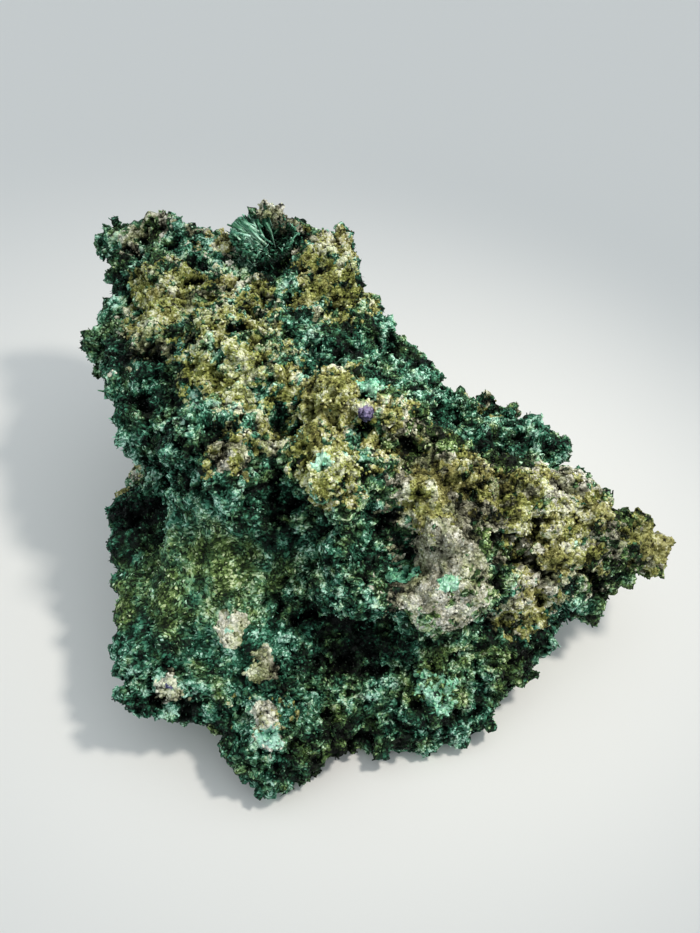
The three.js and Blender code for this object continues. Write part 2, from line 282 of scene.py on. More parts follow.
PATCHES: dict[Mineral, tuple[Patch, ...]] = {
    Mineral.GREY: (
        Patch(Spot.CROWN_HORN, 7, 0.5), Patch(Spot.CROWN_RIM, 9, 0.5), Patch(Spot.CROWN_PEAK, 5, 0.9),
        Patch(Spot.CROWN_CORNER, 8, 0.9), Patch(Spot.CROWN_SIDE, 10, 0.4), Patch(Spot.CROWN_TOP, 15, 0.4),
        Patch(Spot.CROWN_FRONT, 15, 0.4), Patch(Spot.VALLEY, 8, 0.35), Patch(Spot.RIGHT_FLANK, 9, 0.5),
        Patch(Spot.LEFT_LOBE, 5, 0.5), Patch(Spot.HUMP, 5, 0.7), Patch(Spot.KNOB, 4),
        Patch(Spot.SHOULDER, 6, 0.7), Patch(Spot.SLAB_TOP, 10, 0.9), Patch(Spot.SLAB, 12),
        Patch(Spot.ARM, 14, 0.8), Patch(Spot.ARM_ROOT, 8, 0.6), Patch(Spot.ARM_BACK, 9, 0.6),
        Patch(Spot.ARM_TIP, 6), Patch(Spot.UNDER_ARM, 7, 0.8), Patch(Spot.VEIN_TOP, 3.5, 1.3),
        Patch(Spot.VEIN_MIDDLE, 3.5, 1.3), Patch(Spot.VEIN_END, 3, 1.3), Patch(Spot.LEFT_KNOT, 4, 1.2),
        Patch(Spot.FOOT, 3, 1.1), Patch(Spot.BACK_MIDDLE, 9, 0.6), Patch(Spot.BACK_RIGHT, 8, 0.5),
        Patch(Spot.BACK_LEFT, 8, 0.6), Patch(Spot.LEFT_SIDE, 6, 0.5), Patch(Spot.RIGHT_SIDE, 7, 0.6),
        Patch(Spot.BACK_TOP, 7, 0.5),
    ),
    Mineral.OCHRE: (
        Patch(Spot.CROWN_RIM, 7, 0.7), Patch(Spot.CROWN_SIDE, 10, 0.8), Patch(Spot.CROWN_CORNER, 8, 0.5),
        Patch(Spot.CROWN_TOP, 13, 0.5), Patch(Spot.CROWN_FRONT, 14, 0.55), Patch(Spot.VALLEY, 8, 0.4),
        Patch(Spot.RIGHT_FLANK, 10, 0.7), Patch(Spot.BANK, 12, 0.9), Patch(Spot.HUMP, 10),
        Patch(Spot.SHOULDER, 8, 0.7), Patch(Spot.KNOB, 6, 0.3), Patch(Spot.SLAB_TOP, 7, 0.7),
        Patch(Spot.ARM_ROOT, 8, 0.8), Patch(Spot.ARM, 11, 0.7), Patch(Spot.ARM_BACK, 7, 0.5),
        Patch(Spot.ARM_TIP, 7, 0.8), Patch(Spot.UNDER_ARM, 6), Patch(Spot.VEIN_END, 6, 0.3),
        Patch(Spot.BACK_RIGHT, 8, 0.4), Patch(Spot.BACK_LEFT, 9, 0.5), Patch(Spot.LEFT_SIDE, 9, 0.4),
        Patch(Spot.RIGHT_SIDE, 7, 0.5), Patch(Spot.BACK_TOP, 6, 0.6),
    ),
    Mineral.MINT: (
        Patch(Spot.HOLLOW_RIM, 3, 1.3), Patch(Spot.HUMP, 2, 1.2), Patch(Spot.SLAB, 3, 0.8),
        Patch(Spot.SLAB_FOOT, 5, 0.8), Patch(Spot.CAVE, 3, 0.8), Patch(Spot.FOOT, 3, 0.8),
        Patch(Spot.VEIN_TOP, 2, 0.8), Patch(Spot.BACK_RIGHT, 4, 0.5), Patch(Spot.BACK_TOP, 4, 0.5),
        Patch(Spot.RIGHT_SIDE, 3, 0.6),
    ),
    Mineral.AZURITE: (
        Patch(Spot.BESIDE_HOLLOW, 2, 0.8), Patch(Spot.LEFT_KNOT, 2, 0.6),
    ),
}
# Where the crumbs of the matrix are large.
CRUMBLY = (
    Patch(Spot.VEIN_TOP, 6, 1.5), Patch(Spot.VEIN_MIDDLE, 6, 1.5), Patch(Spot.VEIN_END, 6, 1.5),
    Patch(Spot.LEFT_KNOT, 6, 1.5), Patch(Spot.FOOT, 5, 1.5),
)
# Where little light reaches.
SHADED = (
    Patch(Spot.BAY, 9, 0.9), Patch(Spot.CAVE, 6, 0.9), Patch(Spot.NOTCH, 8, 0.9),
    Patch(Spot.RIGHT_FLANK, 6, 0.5), Patch(Spot.SLAB_FOOT, 6, 0.5), Patch(Spot.ARM_ROOT, 18, 0.5),
    Patch(Spot.ARM_TIP, 16, 0.5), Patch(Spot.FRONT_EDGE, 16, 0.5), Patch(Spot.RIGHT_FOOT, 9, 0.4),
)
# Where it is lighter than elsewhere: partly the own pale colour of the vein and the slab, partly painted
# light, as on the smooth face, the hump and the crown's corner.
LIT = (
    Patch(Spot.VEIN_TOP, 5, 0.5), Patch(Spot.VEIN_END, 5, 0.8), Patch(Spot.LEFT_KNOT, 4, 0.9),
    Patch(Spot.FOOT, 4, 0.8), Patch(Spot.CROWN_CORNER, 5), Patch(Spot.FACE_RIGHT, 7, 0.5),
    Patch(Spot.FACE, 15, 0.2), Patch(Spot.HUMP, 8, 0.4), Patch(Spot.SLAB, 5, 0.6),
)
# Where the surface is worn nearly smooth.
WORN = (
    Patch(Spot.FACE, 16, 1.2), Patch(Spot.FACE_LEFT, 14), Patch(Spot.VEIN_TOP, 12, 0.7),
    Patch(Spot.SLAB, 12, 0.9), Patch(Spot.SLAB_TOP, 8, 0.7), Patch(Spot.ARM_TIP, 8, 0.7),
)
# Where the druse is olive, and where the pale matrix is cream rather than grey.
OLIVE = (
    Patch(Spot.CROWN_HORN, 8, 0.5), Patch(Spot.CROWN_SIDE, 12, 0.6), Patch(Spot.CROWN_FRONT, 12, 0.7),
    Patch(Spot.BANK, 10, 0.9), Patch(Spot.HUMP, 10, 0.9), Patch(Spot.SHOULDER, 9, 0.9),
    Patch(Spot.FACE, 12, 0.6), Patch(Spot.FACE_LEFT, 10, 0.6), Patch(Spot.FACE_RIGHT, 9, 0.6),
    Patch(Spot.ARM_ROOT, 20, 1.3), Patch(Spot.ARM_TIP, 18, 1.3), Patch(Spot.SLAB, 12),
    Patch(Spot.SLAB_FOOT, 8, 0.9), Patch(Spot.FRONT_EDGE, 10, 0.8), Patch(Spot.RIGHT_FOOT, 8, 0.6),
)
CREAM = (
    Patch(Spot.CROWN_FRONT, 24, 1.2), Patch(Spot.RIGHT_FLANK, 12, 1.2), Patch(Spot.CROWN_SIDE, 12),
    Patch(Spot.HUMP, 9), Patch(Spot.VEIN_TOP, 12, 0.6),
)
# Reach in millimetres and weight of each layer of noise that frays the patches. Together they spread evenly
# over a width of about 1, so a patch's fill is the share of it that the mineral covers.
FRAY = ((3.6, 0.42), (1.7, 0.55), (0.8, 0.5))
# The same for what makes the surface lighter and darker, for where brochantite grows in sheaves of blades,
# and for what stains the grains.
MOTTLE = ((4.5, 0.25), (2.0, 0.35), (0.9, 0.3))
FIBROUS = ((8.0, 0.8), (3.0, 0.5))
STAIN = ((4.0, 0.5), (1.5, 0.5))


@dataclass
class MineralMap:
    """Which mineral lies where on the lump, from its box's corners and the points of its solid's skin."""

    low: np.ndarray
    high: np.ndarray
    skin: np.ndarray

    def settled(self, spot: Spot) -> np.ndarray:
        """Gives the point of the skin that lies nearest to a form's rough middle."""
        middle = self.low + np.array(spot.value) * (self.high - self.low)
        return self.skin[np.argmin(np.linalg.norm(self.skin - middle, axis=1))]

    def cover(self, patches: Sequence[Patch], points: np.ndarray) -> np.ndarray:
        """Tells how much of the surface some patches cover, before their edges are frayed.

        Args:
            patches: the patches.
            points: the places, in millimetres.

        Returns:
            A share from 0 to 1 for each place.
        """
        bare = np.ones(len(points))
        for patch in patches:
            nearness = 1 - np.linalg.norm(points - self.settled(patch.spot), axis=1) / patch.radius
            bare *= 1 - np.clip(patch.fill * np.clip(nearness * 1.6, 0, 1), 0, 1)
        return 1 - bare

    def excess(self, mineral: Mineral, points: np.ndarray) -> np.ndarray:
        """Tells by how much a mineral outweighs the others at each place, below 0 where it is missing."""
        cover = self.cover(PATCHES[mineral], points)
        return np.where(cover > 0.02, cover - 0.5 - layered(points, FRAY, 3 * mineral.value), -1.0)

    def rough(self, points: np.ndarray) -> np.ndarray:
        """Tells how rough the surface is at each place, from 0.45 where it is worn to 1."""
        return 1 - 0.55 * self.cover(WORN, points)

    def olive(self, points: np.ndarray) -> np.ndarray:
        """Tells how olive the brochantite is at each place."""
        return 0.12 + 0.75 * self.cover(OLIVE, points) + layered(points, STAIN, 95)

    def dusty(self, points: np.ndarray) -> np.ndarray:
        """Tells how grey, rather than cream, the matrix is at each place."""
        return 0.8 - 0.7 * self.cover(CREAM, points) + layered(points, STAIN, 97)

    def sandy(self, points: np.ndarray) -> np.ndarray:
        """Tells how sandy, rather than yellow, the ochre is at each place."""
        return 0.6 - 0.5 * self.cover(CREAM, points) + layered(points, STAIN, 99)

    def tone(self, points: np.ndarray, crease: np.ndarray) -> np.ndarray:
        """Tells how light the surface is: painted light and painted shade from the lit and shaded patches,
        painted shade in creases, and random mottle.

        Args:
            points: the places, in millimetres.
            crease: how deep in a crease each place is, from 0 to 1, where it is darkened as painted shade.

        Returns:
            A value for each place, mostly from 0 to 1.
        """
        # Painted light from the lit patches, painted shade from the shaded ones.
        light = 0.25 * self.cover(LIT, points) - 0.35 * self.cover(SHADED, points)
        worn = self.cover(WORN, points)
        # Random mottle, darker in creases as painted shade.
        uneven = layered(points, MOTTLE, 80) - 0.45 * crease
        return 0.66 + light - 0.04 * worn + uneven * (1 - 0.5 * worn)

    def choose(self, points: np.ndarray, chance: np.ndarray) -> np.ndarray:
        """Gives each place one mineral.

        Args:
            points: the places, in millimetres.
            chance: a random number from 0 to 1 for each place.

        Returns:
            The chosen minerals' numbers.
        """
        chosen = np.full(len(points), Mineral.BROCHANTITE.value)
        for mineral in PATCHES:
            chosen[self.excess(mineral, points) > 0.3 * (chance - 0.5)] = mineral.value
        return chosen


# ----------------------------------------------------------------------------------------------------
# Finishes
# ----------------------------------------------------------------------------------------------------


Tones = tuple[tuple[float, str], ...]  # sRGB colours along a ramp from dark to light


def between(
    tree: bpy.types.NodeTree, share: bpy.types.NodeSocket, first: object, second: object
) -> bpy.types.NodeSocket:
    """Mixes two colours.

    Args:
        tree: the node tree that the mix goes into.
        share: the second colour's share.
        first: the first colour, as a value or a socket.
        second: the second colour.

    Returns:
        The socket of the mixed colour.
    """
    return add_node(tree, "Mix", {"Factor": share, 6: first, 7: second}, data_type="RGBA").outputs[2]


def field_of(tree: bpy.types.NodeTree, name: str) -> bpy.types.NodeSocket:
    """Reads one of the piece's own attributes."""
    return add_node(tree, "Attribute", attribute_name=name).outputs["Fac"]


def worked_out(tree: bpy.types.NodeTree, operation: str, *values: object) -> bpy.types.NodeSocket:
    """Works out a sum on numbers or sockets."""
    return add_node(tree, "Math", dict(enumerate(values)), operation=operation).outputs["Value"]


@dataclass(frozen=True)
class GrainFinish:
    """The finish of a mineral that shows as loose grains, coloured from grain to grain by their tone.

    tones is the ramp of its usual hue, and stained the ramp that the grains with a high hue value have.
    """

    name: str
    tones: Tones
    stained: Tones
    roughness: float
    specular: float
    grit: float
    relief: float

    def material(self) -> bpy.types.Material:
        """Makes the material, whose colour follows each grain's own tone and hue."""
        made = bpy.data.materials.new(self.name)
        made.use_nodes = True
        tree = made.node_tree
        shader = tree.nodes["Principled BSDF"]
        place = add_node(tree, "TexCoord").outputs["Object"]
        pattern = {"Vector": place, "Scale": 1 / (self.grit * MM), "Detail": 2.0}
        mottle = add_node(tree, "TexNoise", pattern).outputs["Fac"]
        widened = {"Value": mottle, "To Min": -0.22, "To Max": 0.22}
        spread = add_node(tree, "MapRange", widened).outputs["Result"]
        tone = worked_out(tree, "ADD", field_of(tree, "tone"), spread)
        bump = add_node(tree, "Bump", {"Height": mottle, "Distance": self.relief * MM, "Strength": 1.0})
        tree.links.new(self.colour(tree, tone, field_of(tree, "hue")), shader.inputs["Base Color"])
        tree.links.new(bump.outputs["Normal"], shader.inputs["Normal"])
        shader.inputs["Roughness"].default_value = self.roughness
        shader.inputs["Specular IOR Level"].default_value = self.specular
        return made

    def colour(
        self, tree: bpy.types.NodeTree, tone: bpy.types.NodeSocket, hue: bpy.types.NodeSocket
    ) -> bpy.types.NodeSocket:
        """Colours the mineral.

        Args:
            tree: the node tree that the nodes go into.
            tone: how light it is.
            hue: how stained it is.

        Returns:
            The socket of its colour.
        """
        usual = add_ramp(tree, tone, self.tones).outputs["Color"]
        stained = add_ramp(tree, tone, self.stained).outputs["Color"]
        return between(tree, hue, usual, stained)


# Copper sulphate crystals: their ramp runs from nearly black, the painted shade where they are deep in, to
# pale sea green, the painted light where it comes through their edges. The fine druse is stained olive by the
# ochre between its crystals.
BROCHANTITE = GrainFinish(
    "brochantite_crystals",
    (
        (0.0, "#010604"), (0.3, "#0a2317"), (0.5, "#1f5039"),
        (0.7, "#43866a"), (0.85, "#7dbb9e"), (1.0, "#c8f5e0"),
    ),
    (
        (0.0, "#040702"), (0.3, "#19270e"), (0.5, "#3b5225"),
        (0.7, "#6b8748"), (0.85, "#9fba76"), (1.0, "#dcecb8"),
    ),
    roughness=0.42, specular=0.3, grit=0.5, relief=0.02,
)
# Iron ochre on sandy matrix: dull and powdery, from brown through mustard to cream.
OCHRE = GrainFinish(
    "ochre_granules",
    (
        (0.0, "#111204"), (0.25, "#373b16"), (0.5, "#727836"),
        (0.75, "#a9b062"), (0.9, "#c9d092"), (1.0, "#eaeecb"),
    ),
    (
        (0.0, "#131206"), (0.25, "#3c3b1d"), (0.5, "#7f7b44"),
        (0.75, "#b9b576"), (0.9, "#d8d6a8"), (1.0, "#eeedd6"),
    ),
    roughness=0.85, specular=0.15, grit=0.4, relief=0.05,
)
# Weathered quartz and feldspar crumbs: matte beige and grey with a few white ones.
GREY = GrainFinish(
    "grey_matrix_granules",
    ((0.0, "#111308"), (0.25, "#3e4526"), (0.5, "#808a56"), (0.75, "#b9c48b"), (1.0, "#eff5d2")),
    ((0.0, "#151509"), (0.25, "#49483a"), (0.5, "#86846f"), (0.75, "#b8b6a0"), (1.0, "#f0efe2")),
    roughness=0.75, specular=0.2, grit=0.4, relief=0.05,
)
# Earthy copper carbonate: chalky mint green.
MINT = GrainFinish(
    "mint_copper_crust",
    ((0.0, "#1a5a46"), (0.3, "#4fa487"), (0.6, "#86d2b2"), (1.0, "#c8fae6")),
    ((0.0, "#1f5638"), (0.3, "#5ea882"), (0.6, "#94d4a6"), (1.0, "#ccf8dc")),
    roughness=0.7, specular=0.3, grit=0.4, relief=0.04,
)
# Azurite specks: small glassy blue crystals, nearly black in shade.
AZURITE = GrainFinish(
    "azurite_specks",
    ((0.0, "#0a0b1c"), (0.6, "#2a2d55"), (1.0, "#7d80a5")),
    ((0.0, "#120a1c"), (0.6, "#3a2d50"), (1.0, "#8d80a0")),
    roughness=0.35, specular=0.5, grit=0.4, relief=0.02,
)


@dataclass(frozen=True)
class CrustFinish:
    """The finish of the whole lump: clumps of brochantite and crumbs of pale minerals, parted by cracks that
    are painted dark as shade.

    Widths are in millimetres: crystal is across one crystal, which is stretch times as long, sheaf across
    the crystals that lie one way, crumb across a clump or a crumb, grit across a point on it, pore
    from one pore of the pale minerals to the next, blotch across lighter or darker stretches, and
    stain across stretches of another hue. lift is how much lighter the pale minerals are.
    """

    name: str = "fine_druse_and_matrix"
    overlays: tuple[tuple[str, str, GrainFinish], ...] = (
        ("grey", "dusty", GREY),
        ("ochre", "sandy", OCHRE),
        ("mint", "olive", MINT),
        ("azurite", "olive", AZURITE),
    )
    crystal: float = 0.32
    stretch: float = 2.0
    sheaf: float = 2.3
    crumb: float = 0.9
    grit: float = 0.28
    pore: float = 1.1
    blotch: float = 1.4
    stain: float = 2.2
    lift: float = 0.18
    relief: float = 0.2
    # The colour of the painted shade in cracks, pits and creases.
    shade_colour: str = "#010302"
    roughness: float = 0.65
    specular: float = 0.2

    def material(self) -> bpy.types.Material:
        """Makes the material, which reads the crust's tone, creases and fields of mineral, and paints shade
        into the creases and the gaps.
        """
        made = bpy.data.materials.new(self.name)
        made.use_nodes = True
        tree = made.node_tree
        shader = tree.nodes["Principled BSDF"]
        place = add_node(tree, "TexCoord").outputs["Object"]
        blotch = self.noise(tree, place, self.blotch, 5.0, 0.0)
        base = worked_out(tree, "MULTIPLY_ADD", blotch, 0.7, field_of(tree, "tone"))
        ragged = field_of(tree, "ragged")
        crumb = self.cells(tree, self.bent(tree, place, self.crumb), self.crumb)
        crumbs = self.parts(tree, crumb["Color"])
        apart = worked_out(tree, "MULTIPLY", worked_out(tree, "SUBTRACT", crumbs["Red"], 0.5), ragged)
        base = worked_out(tree, "MULTIPLY_ADD", apart, 0.3, base)
        drift = worked_out(tree, "MULTIPLY_ADD", self.noise(tree, place, self.stain, 3.0, 5.0), 1.6, -0.8)
        # Brochantite: each sheaf's crystals lie along the sheaf's own direction.
        turns = self.angles(tree, self.cells(tree, place, self.sheaf)["Color"])
        turned = add_node(
            tree, "VectorRotate", {"Vector": place, "Rotation": turns}, rotation_type="EULER_XYZ"
        ).outputs["Vector"]
        drawn_out = {"Vector": turned, "Scale": (1, 1, 1 / self.stretch)}
        drawn = add_node(tree, "Mapping", drawn_out).outputs["Vector"]
        crystal = self.cells(tree, drawn, self.crystal)
        own = self.parts(tree, crystal["Color"])
        tone = worked_out(tree, "MULTIPLY_ADD", own["Red"], 0.6, worked_out(tree, "ADD", base, -0.72))
        # Painted glints: a few crystals are made much lighter, standing in for their sparkle.
        painted_glint = worked_out(tree, "GREATER_THAN", own["Green"], 0.95)
        tone = worked_out(tree, "MULTIPLY_ADD", painted_glint, 0.3, tone)
        hue = worked_out(tree, "MULTIPLY_ADD", own["Blue"], 0.4, worked_out(tree, "ADD", drift, -0.2))
        stains = ("olive", "dusty", "sandy")
        hues = {name: worked_out(tree, "ADD", field_of(tree, name), hue) for name in stains}
        colour = BROCHANTITE.colour(tree, tone, self.held(tree, hues["olive"]))
        # The pale minerals: each crumb is mostly of one mineral.
        grain = self.cells(tree, place, self.grit)
        grit = self.parts(tree, grain["Color"])
        pale = worked_out(tree, "MULTIPLY_ADD", base, 0.75, self.lift - 0.33)
        pale = worked_out(tree, "MULTIPLY_ADD", grit["Red"], 0.38, pale)
        # Painted shade of small pores: the pale minerals are darkened near the middle of each open pore.
        pores = self.cells(tree, self.bent(tree, place, self.pore), self.pore)
        open_ones = worked_out(tree, "GREATER_THAN", self.parts(tree, pores["Color"])["Red"], 0.35)
        pore_shade = worked_out(tree, "MULTIPLY", self.gap_shade(tree, pores["Distance"], 0.34, 0.18, 1.0), open_ones)
        pale = worked_out(tree, "MULTIPLY_ADD", pore_shade, -0.5, pale)
        jitter = worked_out(tree, "MULTIPLY_ADD", crumbs["Green"], 0.4, -0.2)
        for number, (name, stain, finish) in enumerate(self.overlays):
            fray = self.noise(tree, place, self.grit * 2, 2.0, 9.0 + number)
            field = worked_out(tree, "ADD", field_of(tree, name), jitter)
            edge = worked_out(tree, "MULTIPLY_ADD", fray, 0.5, worked_out(tree, "ADD", field, -0.25))
            sharpened = {"Value": edge, "From Min": -0.04, "From Max": 0.04}
            share = add_node(tree, "MapRange", sharpened).outputs["Result"]
            over = finish.colour(tree, pale, self.held(tree, hues[stain]))
            colour = between(tree, share, colour, over)
        # Painted shade: the pits and cracks between the crumbs, the crystals and the grains, and the creases,
        # are darkened towards the shade colour.
        pits = worked_out(tree, "MULTIPLY", self.gap_shade(tree, crumb["Distance"], 0.5, 0.85, 0.95), ragged)
        fine = worked_out(
            tree, "MAXIMUM",
            self.gap_shade(tree, crystal["Distance"], 0.55, 1.0, 0.7),
            self.gap_shade(tree, grain["Distance"], 0.6, 1.0, 0.5),
        )
        deep = worked_out(tree, "MAXIMUM", field_of(tree, "crease"), worked_out(tree, "MAXIMUM", pits, fine))
        shaded = between(tree, deep, colour, linear(self.shade_colour))
        points = worked_out(tree, "MULTIPLY", grit["Green"], 0.4)
        bumpy = worked_out(tree, "MULTIPLY_ADD", crumb["Distance"], -1.0, points)
        bumpy = worked_out(tree, "MULTIPLY_ADD", own["Red"], 0.5, bumpy)
        bump = add_node(tree, "Bump", {"Height": bumpy, "Distance": self.relief * MM, "Strength": 1.0})
        # Less shine where the painted shade is deep.
        shine = worked_out(tree, "MULTIPLY_ADD", deep, -self.specular, self.specular)
        tree.links.new(shine, shader.inputs["Specular IOR Level"])
        tree.links.new(shaded, shader.inputs["Base Color"])
        tree.links.new(bump.outputs["Normal"], shader.inputs["Normal"])
        shader.inputs["Roughness"].default_value = self.roughness
        return made

    @staticmethod
    def cells(
        tree: bpy.types.NodeTree, place: bpy.types.NodeSocket, width: float
    ) -> bpy.types.bpy_prop_collection:
        """Splits space into cells about so many millimetres across.

        Args:
            tree: the node tree that the pattern goes into.
            place: the socket of the places.
            width: the cells' width, in millimetres.

        Returns:
            Its sockets: each cell's random Color, and the Distance from its middle.
        """
        return add_node(tree, "TexVoronoi", {"Vector": place, "Scale": 1 / (width * MM)}).outputs

    @staticmethod
    def bent(tree: bpy.types.NodeTree, place: bpy.types.NodeSocket, width: float) -> bpy.types.NodeSocket:
        """Moves places about at random, so that cells so many millimetres across become uneven."""
        inputs = {"Vector": place, "Scale": 1 / (0.9 * width * MM), "Detail": 2.0}
        moved = add_node(tree, "TexNoise", inputs).outputs["Color"]
        return add_node(
            tree, "VectorMath", {0: moved, 1: (1.2 * width * MM,) * 3, 2: place}, operation="MULTIPLY_ADD"
        ).outputs["Vector"]

    @staticmethod
    def gap_shade(
        tree: bpy.types.NodeTree, distance: bpy.types.NodeSocket, near: float, far: float, most: float
    ) -> bpy.types.NodeSocket:
        """Tells how deep in the gaps between cells each place is, as the strength of the painted shade there.

        Args:
            tree: the node tree that the sum goes into.
            distance: the distance from the cell's middle.
            near: the distance at which the gaps begin.
            far: the distance at which they are deepest.
            most: how deep they are there, from 0 to 1.

        Returns:
            The depth's socket.
        """
        inputs = {"Value": distance, "From Min": near, "From Max": far, "To Max": most}
        return add_node(tree, "MapRange", inputs).outputs["Result"]

    @staticmethod
    def parts(tree: bpy.types.NodeTree, colour: bpy.types.NodeSocket) -> bpy.types.bpy_prop_collection:
        """Splits a colour into its Red, Green and Blue sockets."""
        return add_node(tree, "SeparateColor", {"Color": colour}).outputs

    @staticmethod
    def angles(tree: bpy.types.NodeTree, colour: bpy.types.NodeSocket) -> bpy.types.NodeSocket:
        """Turns random colours into random turns about the three axes."""
        return add_node(tree, "VectorMath", {0: colour, 3: 2 * math.pi}, operation="SCALE").outputs["Vector"]

    @staticmethod
    def noise(
        tree: bpy.types.NodeTree, place: bpy.types.NodeSocket, width: float, detail: float, turn: float
    ) -> bpy.types.NodeSocket:
        """Adds a noise.

        Args:
            tree: the node tree that it goes into.
            place: the socket of the places.
            width: the width of its patches, in millimetres.
            detail: its levels of detail.
            turn: a number that tells one noise from another.

        Returns:
            The noise's socket.
        """
        inputs = {"Vector": place, "W": turn, "Scale": 1 / (width * MM), "Detail": detail, "Roughness": 0.6}
        return add_node(tree, "TexNoise", inputs, noise_dimensions="4D").outputs["Fac"]

    @staticmethod
    def held(tree: bpy.types.NodeTree, value: bpy.types.NodeSocket) -> bpy.types.NodeSocket:
        """Holds a value between 0 and 1."""
        return add_node(tree, "Clamp", {"Value": value}).outputs["Result"]


# ----------------------------------------------------------------------------------------------------
# The crust
# ----------------------------------------------------------------------------------------------------


@dataclass(frozen=True)
class Relief:
    """One layer of lumps on the crust: the kind of pattern, the lumps' size and their height."""

    pattern: str
    size: float
    height: float


def deselect() -> None:
    """Leaves object mode with nothing selected."""
    if bpy.context.object and bpy.context.object.mode != "OBJECT":
        bpy.ops.object.mode_set(mode="OBJECT")
    bpy.ops.object.select_all(action="DESELECT")


def make_active(piece: bpy.types.Object) -> None:
    """Selects one piece alone and makes it the active one."""
    deselect()
    piece.select_set(True)
    bpy.context.view_layer.objects.active = piece


def apply_modifier(piece: bpy.types.Object, name: str, kind: str, **settings: object) -> None:
    """Adds a modifier to the active piece and applies it.

    Args:
        piece: the piece, which is active.
        name: the modifier's name.
        kind: the modifier's type.
        settings: the modifier's properties.
    """
    modifier = piece.modifiers.new(name, kind)
    for key, value in settings.items():
        setattr(modifier, key, value)
    bpy.ops.object.modifier_apply(modifier=modifier.name)


def vertex_array(mesh: bpy.types.Mesh, name: str = "co") -> np.ndarray:
    """Reads the vertices' places, or their normals, as an array of rows."""
    flat = np.empty(len(mesh.vertices) * 3, np.float32)
    if name == "co":
        mesh.vertices.foreach_get("co", flat)
    else:
        mesh.vertex_normals.foreach_get("vector", flat)
    return flat.reshape(-1, 3).astype(float)


def write_attribute(mesh: bpy.types.Mesh, name: str, values: np.ndarray) -> None:
    """Writes one number for each vertex as an attribute of the mesh."""
    layer = mesh.attributes.new(name, "FLOAT", "POINT")
    layer.data.foreach_set("value", values.astype(np.float32))


def sunk(rise: np.ndarray) -> np.ndarray:
    """Turns heights into depths, from 0 for the upper two fifths to 1 for the lowest few."""
    low, high = np.percentile(rise, (3, 60))
    return np.clip((high - rise) / (high - low), 0, 1)


@dataclass
class Crust:
    """The lump's whole surface, from its solid."""

    voxel: float = 0.57
    rounding: int = 5
    shrink: float = 0.3
    reliefs: tuple[Relief, ...] = (
        Relief("CLOUDS", 5.5, 2.2),
        Relief("VORONOI", 4.4, -2.5),
        Relief("VORONOI", 2.1, -2.0),
        Relief("VORONOI", 1.1, -1.1),
        Relief("CLOUDS", 0.9, 1.0),
    )
    broad: int = 2  # how many of the reliefs, from the first, are broad
    finish: CrustFinish = CrustFinish()

    def build(self, minerals: MineralMap) -> bpy.types.Object:
        """Copies, remeshes and roughens the solid.

        Args:
            minerals: which mineral lies where.

        Returns:
            The crust, with its mineral shares and creases as attributes.
        """
        piece = bpy.data.objects.new("crust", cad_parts["matrix"].data.copy())
        bpy.context.scene.collection.objects.link(piece)
        piece.data.materials.clear()
        make_active(piece)
        bpy.ops.object.mode_set(mode="EDIT")
        bpy.ops.mesh.select_all(action="SELECT")
        bpy.ops.mesh.remove_doubles(threshold=0.001 * MM)
        bpy.ops.object.mode_set(mode="OBJECT")
        apply_modifier(piece, "even_mesh", "REMESH", mode="VOXEL", voxel_size=self.voxel * MM)
        apply_modifier(piece, "rounding", "SMOOTH", iterations=self.rounding, factor=0.5)
        smooth = vertex_array(piece.data)
        outward = vertex_array(piece.data, "normal")
        group = piece.vertex_groups.new(name="rough")
        weights = minerals.rough(smooth / MM).round(1)
        for weight in np.unique(weights):
            group.add(np.flatnonzero(weights == weight).tolist(), weight, "REPLACE")
        apply_modifier(piece, "shrink", "DISPLACE", strength=-self.shrink * MM, mid_level=0.0)
        for number, relief in enumerate(self.reliefs):
            texture = bpy.data.textures.new(f"relief_{number}", relief.pattern)
            texture.noise_scale = relief.size * MM
            apply_modifier(
                piece, f"relief_{number}", "DISPLACE",
                texture=texture, texture_coords="LOCAL", vertex_group="rough",
                strength=relief.height * MM, mid_level=0.5,
            )
            if number + 1 == self.broad:
                broad = vertex_array(piece.data)
        roughened = vertex_array(piece.data)
        roughened[:, 2] = np.maximum(roughened[:, 2], 0)
        piece.data.vertices.foreach_set("co", roughened.astype(np.float32).ravel())
        piece.data.update()
        rise = ((roughened - smooth) * outward).sum(axis=1)
        fine = rise - ((broad - smooth) * outward).sum(axis=1)
        # How deep in a crease each place is; the tone and the finish darken it there as painted shade.
        crease = np.clip(0.75 * sunk(rise) ** 1.5 + 0.6 * sunk(fine) ** 1.5, 0, 1)
        write_attribute(piece.data, "crease", crease)
        write_attribute(piece.data, "ragged", weights)
        places = roughened / MM
        write_attribute(piece.data, "tone", minerals.tone(places, crease))
        write_attribute(piece.data, "olive", minerals.olive(places))
        write_attribute(piece.data, "dusty", minerals.dusty(places))
        write_attribute(piece.data, "sandy", minerals.sandy(places))
        for mineral in PATCHES:
            write_attribute(piece.data, mineral.name.lower(), minerals.excess(mineral, places))
        piece.data.materials.append(self.finish.material())
        return piece


# ----------------------------------------------------------------------------------------------------
# Grains
# ----------------------------------------------------------------------------------------------------


@dataclass
class Shape:
    """A small shape that is repeated: its points, rooted at the origin with +Z up, and its triangles."""

    points: np.ndarray
    triangles: np.ndarray


def taken(piece: bpy.types.Object) -> Shape:
    """Turns a modelled piece into arrays and removes it.

    Args:
        piece: the modelled piece.

    Returns:
        Its shape, in the units that it was modelled in.
    """
    mesh = piece.data
    mesh.calc_loop_triangles()
    triangles = np.array([t.vertices[:] for t in mesh.loop_triangles])
    shape = Shape(vertex_array(mesh), triangles)
    bpy.data.objects.remove(piece)
    bpy.data.meshes.remove(mesh)
    return shape


def blade_shape() -> Shape:
    """Models a pointed four-sided blade, one unit across and one unit long."""
    deselect()
    bpy.ops.mesh.primitive_cone_add(vertices=4, radius1=0.5, radius2=0, depth=1, location=(0, 0, 0.5))
    piece = bpy.context.object
    bpy.ops.object.transform_apply(location=True)
    return taken(piece)


